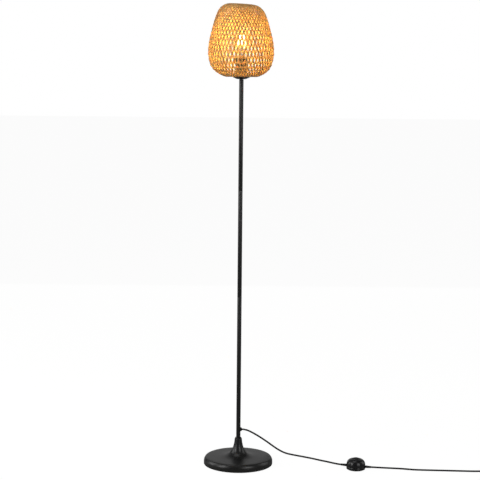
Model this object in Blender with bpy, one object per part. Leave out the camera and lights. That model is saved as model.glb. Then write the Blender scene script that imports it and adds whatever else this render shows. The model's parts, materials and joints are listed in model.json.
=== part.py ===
"""Floor lamp: a woven bamboo shade on a three-section steel pole, with a foot switch on the mains lead.

Metres, +Z up, origin on the floor at the middle of the base. The foot switch, the coil and the plug lie on
the floor on the +X side. The numbers in outlines and in the constants are millimetres, and MM turns them
into metres.
"""

import math

import bmesh
import bpy
import numpy as np
from mathutils import Vector

MM = 0.001
GAP = 0.3

BASE_RADIUS = 120.0
SHEET = 1.2
POLE_RADIUS = 7.5
POLE_BORE = 6.3
POLE_BOTTOM = 24.6
LOW_JOINT = 591.0
HIGH_JOINT = 958.0
DISH_BOTTOM = 1337.6
SHADE_BOTTOM = 1346.4
SHADE_HEIGHT = 244.7
SHADE_WALL = 3.5

THREAD_RADIUS = 5.0
THREAD_BORE = 3.6
LEAD_RADIUS = 3.0
GLAND_HEIGHT = 122.5
GLAND_FACE = 10.9

HOLDER_BOTTOM = 1345.7
BULB_BOTTOM = 1390.4
BULB_RADIUS = 27.5
BULB_CENTRE = 75.6

SWITCH_PLACE = (408.0, -57.2, 0.0)
SWITCH_TURN = math.radians(-16.4)
SWITCH_RADIUS = 32.5
SWITCH_LEAD_HEIGHT = 11.5
BUTTON_BOTTOM = 14.1
SLEEVE_LENGTH = 20.0
CORD_SPACING = 14

COIL_CENTRE = (893.0, -43.2)
COIL_INNER = 24.0
COIL_OUTER = 42.0
COIL_BOTTOM = 1.2
COIL_TOP = 13.2
PLUG_TIP = (945.0, 4.5, 7.2)

# The lead from the pole's gland to the foot switch, in millimetres.
ROUTE_TO_SWITCH = [
    (11.3, 0, 122.5), (19, 0.6, 121.9), (33, 6.9, 116.8), (47, 14.3, 108.3), (61, 23.7, 98),
    (75, 35.1, 86.5), (89, 47.5, 74), (104, 60.9, 60.2), (118, 74.3, 46.5), (133, 88.7, 32),
    (148, 101.1, 19.5), (162, 108, 10.5), (176.5, 109.4, 5), (191, 104.3, 3.2), (204.5, 95.7, 3),
    (218.5, 86.9, 3), (232.3, 77.9, 3), (246, 68.7, 3), (259.8, 59.5, 3), (271, 50.8, 3),
    (284.5, 40, 3), (296, 30.7, 3.2), (307, 20.8, 3.8), (317.2, 9.9, 4.7), (326.8, -2, 5.9),
    (335.8, -14.4, 7.4), (344.5, -26.4, 9), (351.2, -34, 10.1), (358.8, -40.2, 11),
    (367.5, -44.9, 11.5), (376.6, -47.9, 11.5),
]
# The lead from the foot switch to the coil, in millimetres.
ROUTE_TO_COIL = [
    (439.4, -66.5, 11.5), (448, -68.4, 11.5), (458.5, -69.4, 11.2), (473.5, -67.9, 10),
    (488.5, -64.5, 8.3), (504, -60.6, 6.4), (520, -57.3, 4.8), (537, -55.6, 3.6), (555, -56, 3),
    (573, -59.7, 3), (591, -64.3, 3), (609, -68.7, 3), (634, -71.2, 3), (660, -72.7, 3),
    (690, -74.4, 3), (720, -76, 3), (750, -77.7, 3), (780, -79.4, 3), (810, -80.8, 3),
    (835, -81.8, 3.6), (854, -82.4, 4.2),
]
# The lead's tail from the coil to the plug, in millimetres.
ROUTE_TAIL = [
    (938.5, -31.7, 9), (941.5, -23.6, 8.6), (943.7, -14.6, 8), (944.7, -5.5, 7.5), (945, 4.2, 7.2),
]


def clear_scene():
    for thing in list(bpy.data.objects):
        bpy.data.objects.remove(thing, do_unlink=True)


def look(name, colour, roughness, metallic=0.0):
    """A plain material; the colour is linear red, green and blue."""
    material = bpy.data.materials.get(name) or bpy.data.materials.new(name)
    material.use_nodes = True
    shader = material.node_tree.nodes["Principled BSDF"]
    shader.inputs["Base Color"].default_value = (*colour, 1.0)
    shader.inputs["Roughness"].default_value = roughness
    shader.inputs["Metallic"].default_value = metallic
    return material


def black_coat():
    return look("satin_black_coat", (0.012, 0.012, 0.013), 0.42, 0.2)


def black_plastic():
    return look("gloss_black_plastic", (0.008, 0.008, 0.009), 0.25)


def black_rubber():
    return look("black_rubber", (0.010, 0.010, 0.010), 0.7)


def zinc_steel():
    return look("zinc_steel", (0.55, 0.55, 0.53), 0.35, 1.0)


def iron_weight():
    return look("grey_iron", (0.07, 0.07, 0.07), 0.75, 0.6)


def brass():
    return look("brass", (0.62, 0.45, 0.18), 0.3, 1.0)


def bamboo():
    return look("warm_bamboo", (0.52, 0.27, 0.09), 0.55)


def clear_glass():
    return look("clear_glass", (0.95, 0.93, 0.88), 0.05)


def lit_filament():
    return look("lit_filament", (1.0, 0.82, 0.5), 0.4)


def ceramic():
    return look("white_ceramic", (0.75, 0.73, 0.70), 0.4)


def place(name, mesh, material, at=(0, 0, 0), turn=None, parent=None):
    """An object made of the mesh, at a place in millimetres under its parent."""
    mesh.materials.append(material)
    thing = bpy.data.objects.new(name, mesh)
    thing.location = Vector(at) * MM
    if turn is not None:
        thing.rotation_euler = turn
    thing.parent = parent
    bpy.context.collection.objects.link(thing)
    return thing


def smooth_shading(mesh, angle=35.0):
    mesh.shade_smooth()
    mesh.set_sharp_from_angle(angle=math.radians(angle))


def turned_mesh(name, outline, sides):
    """A closed section of (radius, height) points, turned about Z."""
    shape = bmesh.new()
    points = [shape.verts.new((radius * MM, 0.0, height * MM)) for radius, height in outline]
    edges = [shape.edges.new(pair) for pair in zip(points, points[1:])]
    if outline[0][0] > 0 or outline[-1][0] > 0:
        edges.append(shape.edges.new((points[-1], points[0])))
    bmesh.ops.spin(
        shape, geom=points + edges, cent=(0, 0, 0), axis=(0, 0, 1), angle=2 * math.pi, steps=sides, use_merge=True
    )
    bmesh.ops.remove_doubles(shape, verts=shape.verts, dist=1e-6)
    bmesh.ops.recalc_face_normals(shape, faces=shape.faces)
    mesh = bpy.data.meshes.new(name)
    shape.to_mesh(mesh)
    shape.free()
    smooth_shading(mesh)
    return mesh


def turned(name, outline, material, sides=24, **where):
    return place(name, turned_mesh(name, outline, sides), material, **where)


def ring(inner, outer, bottom, top):
    """The outline of a plain ring."""
    return [(inner, bottom), (outer, bottom), (outer, top), (inner, top)]


def block(name, size, material, **where):
    """A rectangular block with its middle at the place given."""
    shape = bmesh.new()
    bmesh.ops.create_cube(shape, size=MM)
    bmesh.ops.scale(shape, vec=size, verts=shape.verts)
    mesh = bpy.data.meshes.new(name)
    shape.to_mesh(mesh)
    shape.free()
    return place(name, mesh, material, **where)


def helper(thing):
    """Marks a cutter or other shape that isn't a part of the lamp."""
    thing.hide_render = True
    thing.display_type = "WIRE"
    return thing


def combine(thing, other, operation="DIFFERENCE"):
    step = thing.modifiers.new(other.name, "BOOLEAN")
    step.operation = operation
    step.object = helper(other)


def flow(points, per_span):
    """Points on a smooth curve through the given points."""
    ends = [2 * points[0] - points[1], *points, 2 * points[-1] - points[-2]]
    line = []
    for a, b, c, d in zip(ends, ends[1:], ends[2:], ends[3:]):
        for step in range(per_span):
            t = step / per_span
            line.append(
                0.5 * (2 * b + (c - a) * t + (2 * a - 5 * b + 4 * c - d) * t**2 + (3 * b - a - 3 * c + d) * t**3)
            )
    return [*line, points[-1]]


def profile(points, per_span=3):
    """A smooth outline through a few (radius, height) points."""
    return [tuple(point) for point in flow([np.array(p, float) for p in points], per_span)]


def inward(outline, thickness):
    """The outline moved to its left by a sheet's thickness, end to start."""
    points = np.array(outline, float)
    along = np.gradient(points, axis=0)
    along /= np.linalg.norm(along, axis=1, keepdims=True)
    moved = points + thickness * np.stack([-along[:, 1], along[:, 0]], axis=1)
    return [tuple(point) for point in moved[::-1]]


def spaced(route, spacing):
    """Evenly spaced points in millimetres along the smooth curve through a route."""
    line = np.array(flow([np.array(p, float) for p in route], 12))
    steps = np.linalg.norm(np.diff(line, axis=0), axis=1)
    along = np.concatenate([[0.0], np.cumsum(steps)])
    count = max(2, round(along[-1] / spacing) + 1)
    at = np.linspace(0.0, along[-1], count)
    return np.stack([np.interp(at, along, line[:, axis]) for axis in range(3)], axis=1)


def tube(name, points, material, radii=None, radius=LEAD_RADIUS, resolution=2, parent=None):
    """A round solid that follows the points, with flat ends."""
    curve = bpy.data.curves.new(name, "CURVE")
    curve.dimensions = "3D"
    curve.bevel_depth = radius * MM
    curve.bevel_resolution = resolution
    curve.use_fill_caps = True
    spline = curve.splines.new("POLY")
    spline.points.add(len(points) - 1)
    for index, point in enumerate(points):
        spline.points[index].co = (*(Vector(point) * MM), 1.0)
        if radii is not None:
            spline.points[index].radius = radii[index] / radius
    curve.materials.append(material)
    thing = bpy.data.objects.new(name, curve)
    thing.parent = parent
    bpy.context.collection.objects.link(thing)
    return thing


def axis_empty(name, at, turn=None):
    """The frame of a moving body: its origin is on the joint's axis."""
    empty = bpy.data.objects.new(name, None)
    empty.location = Vector(at) * MM
    if turn is not None:
        empty.rotation_euler = turn
    bpy.context.collection.objects.link(empty)
    return empty


def hex_nut(name, across, bottom, top, material, **where):
    """A six-sided nut with a round bore for the thread."""
    nut = turned(name, [(0, bottom), (across / math.sqrt(3), bottom), (across / math.sqrt(3), top), (0, top)],
                 material, 6, **where)
    nut.data.shade_flat()
    bore = turned(name + "_bore", [(0, bottom - 1), (THREAD_RADIUS + GAP, bottom - 1),
                                   (THREAD_RADIUS + GAP, top + 1), (0, top + 1)], material, 16, **where)
    combine(nut, bore)
    return nut


def base():
    turned("base_pad", ring(40, 114, 0, 2), black_rubber(), 28)
    turned("base_weight", [(6, 9), (22, 9), (22, 2.3), (112, 2.3), (114, 6), (114, 17), (107, 23), (30, 24.2), (6, 24.2)],
           iron_weight(), 24)
    crown = [(BASE_RADIUS - 0.6, 1.2), (BASE_RADIUS, 8), (119, 17), (114.6, 24.6), (108, 26.6), (60, 28.6),
             (38.5, 34), (27, 43), (20, 54), (16.2, 65), (13.7, 78), (12.6, 88), (10.8, 91.2), (9.6, 91.2)]
    turned("base_cover", crown + inward(crown, SHEET), black_coat(), 32)
    turned("neck_bush", [(7.8, 76), (9.3, 76), (9.3, 91.5), (11.2, 91.5), (11.2, 93), (10.5, 93.8), (7.8, 93.8)],
           black_plastic(), 20)
    turned("base_stud", [(0, 2.8), (THREAD_RADIUS, 2.8), (THREAD_RADIUS, 44), (0, 44)], zinc_steel(), 16)
    turned("base_washer", ring(THREAD_RADIUS + GAP, 13, 7.5, 8.7), zinc_steel(), 20)
    hex_nut("base_nut", 17, 2.4, 7.2, zinc_steel())


def pole_section(name, bottom, top):
    return turned(name, ring(POLE_BORE, POLE_RADIUS, bottom + GAP / 2, top - GAP / 2), black_coat(), 24)


def pole():
    lower = pole_section("pole_lower", POLE_BOTTOM, LOW_JOINT)
    pole_section("pole_middle", LOW_JOINT, HIGH_JOINT)
    pole_section("pole_upper", HIGH_JOINT, DISH_BOTTOM - GAP)
    drill = turned("gland_drill", [(0, 0), (4.5, 0), (4.5, 12), (0, 12)], black_coat(), 16,
                   at=(3, 0, GLAND_HEIGHT), turn=(0, math.pi / 2, 0))
    combine(lower, drill)
    insert_wall = (THREAD_RADIUS + GAP, POLE_BORE - GAP)
    ends = {
        "insert_base": (POLE_BOTTOM + 0.5, 44.0),
        "insert_lower_top": (LOW_JOINT - 18, LOW_JOINT - 0.5),
        "insert_middle_bottom": (LOW_JOINT + 0.5, LOW_JOINT + 18),
        "insert_middle_top": (HIGH_JOINT - 18, HIGH_JOINT - 0.5),
        "insert_upper_bottom": (HIGH_JOINT + 0.5, HIGH_JOINT + 18),
        "insert_upper_top": (DISH_BOTTOM - 19, DISH_BOTTOM - 0.5),
    }
    for name, (bottom, top) in ends.items():
        turned(name, ring(*insert_wall, bottom, top), zinc_steel(), 16)
    nipples = {"nipple_low": (LOW_JOINT - 15, LOW_JOINT + 15), "nipple_high": (HIGH_JOINT - 15, HIGH_JOINT + 15),
               "nipple_top": (DISH_BOTTOM - 17, HOLDER_BOTTOM + 6)}
    for name, (bottom, top) in nipples.items():
        turned(name, ring(THREAD_BORE, THREAD_RADIUS, bottom, top), zinc_steel(), 16)


def cord_gland():
    """A rubber grommet whose flange fits the curve of the pole."""
    flange = [(0, 4), (6.4, 4), (6.4, 9.6), (5.5, GLAND_FACE), (0, GLAND_FACE)]
    where = {"at": (0, 0, GLAND_HEIGHT), "turn": (0, math.pi / 2, 0)}
    gland = turned("cord_grommet", flange, black_rubber(), 16, **where)
    combine(gland, turned("gland_pole", [(0, -20), (POLE_RADIUS + GAP, -20), (POLE_RADIUS + GAP, 20), (0, 20)],
                          black_rubber(), 24, at=(0, 0, GLAND_HEIGHT)))
    combine(gland, turned("gland_neck", [(0, 6.2), (4.2, 6.2), (4.2, 9), (0, 9)], black_rubber(), 16, **where), "UNION")
    combine(gland, turned("gland_bore", [(0, 2), (3.5, 2), (3.5, 14), (0, 14)], black_rubber(), 16, **where))


def inner_lead():
    rise = [(GLAND_FACE, 0), (8.5, 0), (6.2, 0), (3.8, 1.2), (1.8, 4.5), (0.6, 10), (0, 18), (0, 30)]
    route = [(x, 0, GLAND_HEIGHT + z) for x, z in rise]
    points = [*spaced(route, 2.4), (0, 0, HOLDER_BOTTOM + 16)]
    tube("inner_lead", points, black_rubber())


def dish():
    under = profile([(13, 0), (18, 1.5), (24.4, 4.1), (29.5, 6.7), (32.4, 9.2), (33.5, 12)], 1)
    under = [(THREAD_RADIUS + GAP, 0), *under, (33.5, 15.5)]
    turned("shade_dish", under + inward(under, SHEET), black_coat(), 28, at=(0, 0, DISH_BOTTOM))
    turned("dish_washer", ring(THREAD_RADIUS + GAP, 11, 1.6, 2.6), zinc_steel(), 20, at=(0, 0, DISH_BOTTOM))
    hex_nut("dish_nut", 14, 2.9, 7.7, zinc_steel(), at=(0, 0, DISH_BOTTOM))


def lamp_holder():
    here = (0, 0, HOLDER_BOTTOM)
    cap = [(5.3, 0), (9, 0), (14, 2), (18, 6.5), (20.3, 13), (20.6, 18), (18.6, 18), (17.6, 12), (14, 6.5), (10, 3.6),
           (5.3, 3.6)]
    turned("holder_cap", cap, black_plastic(), 20, at=here)
    body = [(18.8, 18.4), (20.8, 18.4), (21, 24), (20.2, 62), (19.4, 64), (17.6, 64), (17.6, 24), (18.8, 22)]
    turned("holder_body", body, black_plastic(), 20, at=here)
    turned("holder_core", ring(3.6, 17.2, 19, 39), ceramic(), 20, at=here)
    shell = [(7, 39.4), (14.4, 39.4), (14.4, 62.5), (13.8, 62.5), (13.8, 40), (7, 40)]
    turned("holder_screw_shell", shell, brass(), 20, at=here)
    turned("holder_contact", [(0, 39.4), (3.2, 39.4), (3, 42.5), (2, 44.4), (0, 44.4)], brass(), 12, at=here)


def bulb(parent):
    """A clear bulb with a screw cap; heights are above its tip contact. The stem carries the filaments."""
    turned("bulb_tip", [(0, 0), (3.5, 0), (4.8, 1), (9, 2.6), (9, 3), (0, 3)], brass(), 16, parent=parent)
    ribs = [(12.2, 5), (13.1, 7), (12.2, 9), (13.1, 11), (12.2, 13), (13.1, 15), (13.1, 25.5)]
    turned("bulb_cap", [(9.6, 2.6), (11, 3), *ribs, (12.3, 25.5), (11.4, 6), (9.6, 3.4)], brass(), 16, parent=parent)
    neck = [(12.8, 25.9), (13.4, 32), (16.5, 42), (21.5, 52)]
    start = math.radians(-38)
    arc = [start + (math.pi / 2 - start) * step / 7 for step in range(7)]
    round_part = [(BULB_RADIUS * math.cos(a), BULB_CENTRE + BULB_RADIUS * math.sin(a)) for a in arc]
    outer = [*neck, *round_part]
    inner = [point for point in inward(outer, 0.9) if point[0] > 0]
    glass = [*outer, (0, BULB_CENTRE + BULB_RADIUS), (0, BULB_CENTRE + BULB_RADIUS - 0.9), *inner]
    turned("bulb_globe", closed_at_axis(glass), clear_glass(), 20, parent=parent)
    turned("bulb_stem", [(0, 26.5), (9.5, 26.5), (8, 31), (4, 40), (3.2, 70), (2, 78), (0, 79)], lit_filament(), 12,
           parent=parent)


def closed_at_axis(outline):
    """The outline turned round so that it starts and ends on the axis."""
    first = max(index for index, point in enumerate(outline) if point[0] == 0)
    return outline[first:] + outline[:first]


def shade(parent):
    """Heights are above the shade's lowest ring of splints. The wall is three bands, one above another."""
    side = [(32.6, 7.5), (37, 5.3), (44, 1.7), (53, 0), (68.2, 5.3), (85, 15.4), (97.7, 28.7), (106.3, 48.7),
            (111.4, 80), (108.6, 118.8), (102, 148.9), (91.4, 188.9), (82, 215), (73, 230), (60, 240.5),
            (49.5, 244.4)]
    bands = {"shade_weave_lower": (0, 6), "shade_weave_middle": (6, 11), "shade_weave_upper": (11, len(side) - 1)}
    for name, (first, last) in bands.items():
        wall = []
        for line in (side, inward(side, SHADE_WALL)[::-1]):
            part = np.array(line[first:last + 1], float)
            low, high = part[1] - part[0], part[-2] - part[-1]
            if first > 0:
                part[0] += GAP / 2 * low / np.linalg.norm(low)
            if last < len(side) - 1:
                part[-1] += GAP / 2 * high / np.linalg.norm(high)
            wall.append([tuple(point) for point in part])
        turned(name, wall[0] + wall[1][::-1], bamboo(), 30, parent=parent)
    turned("shade_bottom_hoop", ring(29.6, 31.9, 4, 11), bamboo(), 32, parent=parent)
    turned("shade_top_hoop", ring(44, 47.6, 237.5, SHADE_HEIGHT), bamboo(), 32, parent=parent)


def foot_switch_housing(where):
    """The housing's pieces, in the switch's own frame with its leads along X."""
    wall = SWITCH_RADIUS
    turned("switch_pad", ring(21, 28.5, 0, 1.4), black_rubber(), 24, parent=where)
    tray = [(0, 1.7), (31, 1.7), (wall, 3.2), (wall, 11.2), (wall - 2.2, 11.2), (wall - 2.2, 4.2), (0, 4.2)]
    lower = turned("switch_base", tray, black_plastic(), 28, parent=where)
    dome = [(wall, 11.6), (wall, 17), (31.6, 23.2), (29, 29), (24.6, 33.4), (19.4, 36), (15.3, 37)]
    upper = turned("switch_cover", dome + inward(dome, 2.0), black_plastic(), 28, parent=where)
    drill = turned("switch_lead_drill", [(0, -50), (3.5, -50), (3.5, 50), (0, 50)], black_plastic(), 12,
                   at=(0, 0, SWITCH_LEAD_HEIGHT), turn=(0, math.pi / 2, 0), parent=where)
    combine(lower, drill)
    combine(upper, drill)
    for side in (-1, 1):
        boss = turned(f"screw_boss_{side}", [(0, 5), (3.4, 5), (3.4, 32.6), (0, 32.6)], black_plastic(), 12,
                      at=(0, 21 * side, 0), parent=where)
        combine(upper, boss, "UNION")
        pilot = turned(f"screw_pilot_{side}", [(0, 4), (1.2, 4), (1.2, 16), (0, 16)], black_plastic(), 10,
                       at=(0, 21 * side, 0), parent=where)
        combine(upper, pilot)
        hole = turned(f"screw_hole_{side}", [(0, 0), (3.4, 0), (3.4, 3), (1.9, 3), (1.9, 6), (0, 6)],
                      black_plastic(), 12, at=(0, 21 * side, 0), parent=where)
        combine(lower, hole)
        name = "switch_screw_back" if side > 0 else "switch_screw_front"
        turned(name, [(0, 1.9), (2.8, 1.9), (2.8, 2.7), (0.9, 2.9), (0.9, 12), (0, 12.6)], zinc_steel(), 10,
               at=(0, 21 * side, 0), parent=where)


def foot_switch_works(where):
    """The block, the two fixed contacts and the guide that the button's stem runs in."""
    block("switch_block", (12, 12, 6), black_plastic(), at=(0, 0, 7.5), parent=where)
    guide = [(9.3, 10.8), (10.8, 10.8), (10.8, 18.8), (3.6, 18.8), (3.6, 17.8), (9.3, 17.8)]
    turned("switch_guide", guide, black_plastic(), 16, parent=where)
    for side, name in ((-1, "in"), (1, "out")):
        block(f"switch_contact_{name}", (7, 6, 6), brass(), at=(9.8 * side, 0, 7.5), parent=where)


def foot_switch_button(parent):
    """Heights are above the foot of the button's stem; its origin is on the press axis."""
    cap = [(0, 27), (6, 26.5), (11, 24.9), (13.8, 22.6), (14.7, 19.6), (14.7, 12.4), (13, 12.4), (13, 19.5), (3, 22),
           (3, 1.6), (0, 1.6)]
    turned("switch_button", cap, black_plastic(), 24, parent=parent)
    block("switch_bridge", (16, 5, 1), brass(), at=(0, 0, 0.8), parent=parent)
    turns = 4
    steps = 8
    bottom = 5.5
    height = 14.9
    winding = []
    for index in range(turns * steps + 1):
        angle = 2 * math.pi * index / steps
        rise = bottom + height * index / (turns * steps)
        winding.append((5.6 * math.cos(angle), 5.6 * math.sin(angle), rise))
    tube("switch_spring", winding, zinc_steel(), radius=0.5, resolution=1, parent=parent)


def sleeve(name, route, material):
    """A strain relief that tapers along the lead from the housing, with the lead's end inside the housing.

    Returns the points of the lead beyond it.
    """
    points = spaced(route, 1.0)
    first = round(SLEEVE_LENGTH)
    kept = points[:first + 1:4]
    middle = np.array([*SWITCH_PLACE[:2], SWITCH_LEAD_HEIGHT])
    out = (points[0] - middle) / np.linalg.norm(points[0] - middle)
    inside = [middle + 13.6 * out, middle + 32.6 * out]
    tube(name, [*inside, *kept], material, radii=[LEAD_RADIUS, LEAD_RADIUS, *np.linspace(4.6, 3.5, len(kept))])
    step = points[first + 1] - points[first]
    start = points[first] + 2 * GAP * step / np.linalg.norm(step)
    rest = points[first + CORD_SPACING::CORD_SPACING]
    return [start, *rest[:-1], points[-3], points[-1]]


def cords():
    """The free lead: pole to switch, switch to coil, the coil's outer shape, and the tail to the plug."""
    to_switch = sleeve("switch_sleeve_in", ROUTE_TO_SWITCH[::-1], black_rubber())
    tube("cord_to_switch", to_switch[::-1], black_rubber())
    to_coil = sleeve("switch_sleeve_out", ROUTE_TO_COIL, black_rubber())
    tube("cord_to_coil", to_coil, black_rubber())
    middle = (*COIL_CENTRE, 0)
    chamfer = 3.0
    bundle = [(COIL_INNER + chamfer, COIL_BOTTOM), (COIL_OUTER - chamfer, COIL_BOTTOM),
              (COIL_OUTER, COIL_BOTTOM + chamfer), (COIL_OUTER, COIL_TOP - chamfer),
              (COIL_OUTER - chamfer, COIL_TOP), (COIL_INNER + chamfer, COIL_TOP),
              (COIL_INNER, COIL_TOP - chamfer), (COIL_INNER, COIL_BOTTOM + chamfer)]
    turned("cord_coil", bundle, black_rubber(), 32, at=middle)
    tube("cord_tail", spaced(ROUTE_TAIL, 9), black_rubber())
    tie_x = COIL_CENTRE[0] - (COIL_OUTER + COIL_INNER) / 2
    width = COIL_OUTER - COIL_INNER
    tie = block("cord_tie", (width + 2.4, 5, COIL_TOP + 1.2), black_rubber(),
                at=(tie_x, COIL_CENTRE[1], (COIL_TOP + 1.2) / 2))
    combine(tie, block("tie_inside", (width + 0.8, 8, COIL_TOP - COIL_BOTTOM + 0.8), black_rubber(),
                       at=(tie_x, COIL_CENTRE[1], (COIL_TOP + COIL_BOTTOM) / 2)))


def plug():
    """A flat two-pin plug that lies on the floor and points along Y."""
    x, y, z = PLUG_TIP
    outline = [(3.6, 0), (5.5, 24), (17.6, 38), (17.6, 52), (14, 60), (-14, 60), (-17.6, 52), (-17.6, 38), (-5.5, 24),
               (-3.6, 0)]
    shape = bmesh.new()
    face = shape.faces.new([shape.verts.new((a * MM, b * MM, -6.8 * MM)) for a, b in outline])
    raised = bmesh.ops.extrude_face_region(shape, geom=[face])["geom"]
    bmesh.ops.translate(shape, vec=(0, 0, 13.6 * MM), verts=[v for v in raised if isinstance(v, bmesh.types.BMVert)])
    bmesh.ops.recalc_face_normals(shape, faces=shape.faces)
    for vert in shape.verts:
        share = min(1.0, 0.53 + 0.47 * vert.co.y / (38 * MM))
        vert.co.z *= share
    mesh = bpy.data.meshes.new("plug_body")
    shape.to_mesh(mesh)
    shape.free()
    place("plug_body", mesh, black_plastic(), at=(x, y, z))
    pin = turned_mesh("plug_pin", [(0, 60.3), (2, 60.3), (2, 77.5), (1.2, 79.3), (0, 79.3)], 12)
    for side, name in ((-1, "plug_pin_left"), (1, "plug_pin_right")):
        place(name, pin.copy(), zinc_steel(), at=(x + 9.5 * side, y, z), turn=(-math.pi / 2, 0, 0))


def main():
    clear_scene()
    base()
    pole()
    cord_gland()
    inner_lead()
    dish()
    lamp_holder()
    bulb(axis_empty("bulb_axis", (0, 0, BULB_BOTTOM)))
    shade(axis_empty("shade_axis", (0, 0, SHADE_BOTTOM)))
    switch = axis_empty("switch_place", SWITCH_PLACE, (0, 0, SWITCH_TURN))
    foot_switch_housing(switch)
    foot_switch_works(switch)
    button = axis_empty("button_axis", (0, 0, BUTTON_BOTTOM))
    button.parent = switch
    foot_switch_button(button)
    cords()
    plug()


main()
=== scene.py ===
import json
import math
import random

import bmesh
import bpy
import numpy as np
from mathutils import Matrix, Vector


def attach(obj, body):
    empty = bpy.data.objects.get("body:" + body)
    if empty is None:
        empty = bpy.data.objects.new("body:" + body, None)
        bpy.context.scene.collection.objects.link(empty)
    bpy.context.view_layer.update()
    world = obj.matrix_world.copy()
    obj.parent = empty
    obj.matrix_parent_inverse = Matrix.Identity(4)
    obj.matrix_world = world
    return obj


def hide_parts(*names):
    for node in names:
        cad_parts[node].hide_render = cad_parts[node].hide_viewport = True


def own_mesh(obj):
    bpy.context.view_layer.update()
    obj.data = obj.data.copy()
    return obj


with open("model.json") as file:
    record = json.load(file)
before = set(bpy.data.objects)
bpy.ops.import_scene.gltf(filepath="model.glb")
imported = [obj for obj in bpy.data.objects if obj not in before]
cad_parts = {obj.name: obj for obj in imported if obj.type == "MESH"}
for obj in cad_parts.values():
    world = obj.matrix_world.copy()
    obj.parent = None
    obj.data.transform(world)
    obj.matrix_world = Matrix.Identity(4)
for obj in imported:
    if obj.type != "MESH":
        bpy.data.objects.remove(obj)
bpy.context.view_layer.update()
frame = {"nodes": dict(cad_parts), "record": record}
cadNodes = frame["nodes"]
mm = 0.001
fullTurn = 2 * math.pi


def linearColour(hexText, alpha=1.0):
    # sRGB hex to the linear numbers that shaders take
    parts = [int(hexText[i:i + 2], 16) / 255 for i in (1, 3, 5)]
    return (*[p / 12.92 if p <= 0.04045 else ((p + 0.055) / 1.055) ** 2.4 for p in parts], alpha)


def addNode(tree, kind, settings=None, values=None, links=None):
    node = tree.nodes.new(kind)
    for name, value in (settings or {}).items():
        setattr(node, name, value)
    for socket, value in (values or {}).items():
        node.inputs[socket].default_value = value
    for socket, source in (links or {}).items():
        tree.links.new(source, node.inputs[socket])
    return node


def addRamp(tree, source, stops):
    # stops are (position, hex colour)
    ramp = addNode(tree, "ShaderNodeValToRGB", links={"Fac": source})
    elements = ramp.color_ramp.elements
    while len(elements) < len(stops):
        elements.new(0.5)
    for element, (position, colour) in zip(elements, stops):
        element.position = position
        element.color = linearColour(colour)
    return ramp


def addNoise(tree, place, scale, detail):
    return addNode(tree, "ShaderNodeTexNoise", values={"Scale": scale, "Detail": detail},
                   links={"Vector": place})


def addRange(tree, source, low, high):
    return addNode(tree, "ShaderNodeMapRange", values={"To Min": low, "To Max": high},
                   links={"Value": source.outputs["Fac"]})


def addBump(tree, source, strength, distance):
    return addNode(tree, "ShaderNodeBump", values={"Strength": strength, "Distance": distance},
                   links={"Height": source.outputs["Fac"]})


def startMaterial(name):
    material = bpy.data.materials.new(name)
    material.use_nodes = True
    tree = material.node_tree
    shader = tree.nodes["Principled BSDF"]
    place = addNode(tree, "ShaderNodeTexCoord").outputs["Object"]
    return material, tree, shader, place


# Camera: level with the foot of the shade, tilted down to take in the base
cameraSetup = {"distance": 4.528, "height": 1.345, "tiltDown": 7.0, "roll": 0.5, "lens": 99.6, "sensor": 36.0}


def buildCamera():
    data = bpy.data.cameras.new("camera")
    data.lens = cameraSetup["lens"]
    data.sensor_width = cameraSetup["sensor"]
    camera = bpy.data.objects.new("camera", data)
    bpy.context.scene.collection.objects.link(camera)
    tilt = Matrix.Rotation(math.radians(90 - cameraSetup["tiltDown"]), 4, "X")
    roll = Matrix.Rotation(math.radians(cameraSetup["roll"]), 4, "Z")
    place = Matrix.Translation((0, -cameraSetup["distance"], cameraSetup["height"]))
    camera.matrix_world = place @ tilt @ roll
    bpy.context.scene.camera = camera


buildCamera()
print("camera placed")

# Plain moulded and coated finishes


def coatedSteel():
    # Mild steel, satin black powder coat: an even skin with a faint orange peel and soft, wide highlights
    material, tree, shader, place = startMaterial("satinPowderCoatedSteel")
    peel = addNoise(tree, place, 700.0, 2.0)
    cloud = addNoise(tree, place, 16.0, 4.0)
    shade = addRamp(tree, cloud.outputs["Fac"], [(0.3, "#0e0e0e"), (0.7, "#121211")])
    rough = addRange(tree, cloud, 0.33, 0.4)
    bump = addBump(tree, peel, 0.12, 0.0002)
    tree.links.new(shade.outputs["Color"], shader.inputs["Base Color"])
    tree.links.new(rough.outputs["Result"], shader.inputs["Roughness"])
    tree.links.new(bump.outputs["Normal"], shader.inputs["Normal"])
    return material


def mouldedPlastic():
    # Black ABS, moulded in a finely stoned tool: soft gloss with a very slight waviness
    material, tree, shader, place = startMaterial("stonedMouldedAbs")
    flow = addNoise(tree, place, 60.0, 2.0)
    scuff = addNoise(tree, place, 420.0, 5.0)
    shade = addRamp(tree, flow.outputs["Fac"], [(0.3, "#0b0b0c"), (0.7, "#101011")])
    rough = addRange(tree, scuff, 0.26, 0.34)
    bump = addBump(tree, flow, 0.05, 0.0003)
    tree.links.new(shade.outputs["Color"], shader.inputs["Base Color"])
    tree.links.new(rough.outputs["Result"], shader.inputs["Roughness"])
    tree.links.new(bump.outputs["Normal"], shader.inputs["Normal"])
    return material


def extrudedSheath():
    # Flexible PVC, extruded over the wires: low sheen, faint dull patches from handling
    material, tree, shader, place = startMaterial("extrudedPvcSheath")
    patch = addNoise(tree, place, 90.0, 3.0)
    grain = addNoise(tree, place, 1400.0, 1.0)
    shade = addRamp(tree, patch.outputs["Fac"], [(0.35, "#0b0b0b"), (0.7, "#101010")])
    rough = addRange(tree, patch, 0.42, 0.56)
    bump = addBump(tree, grain, 0.1, 0.0001)
    tree.links.new(shade.outputs["Color"], shader.inputs["Base Color"])
    tree.links.new(rough.outputs["Result"], shader.inputs["Roughness"])
    tree.links.new(bump.outputs["Normal"], shader.inputs["Normal"])
    shader.inputs["Specular IOR Level"].default_value = 0.25
    return material


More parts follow.
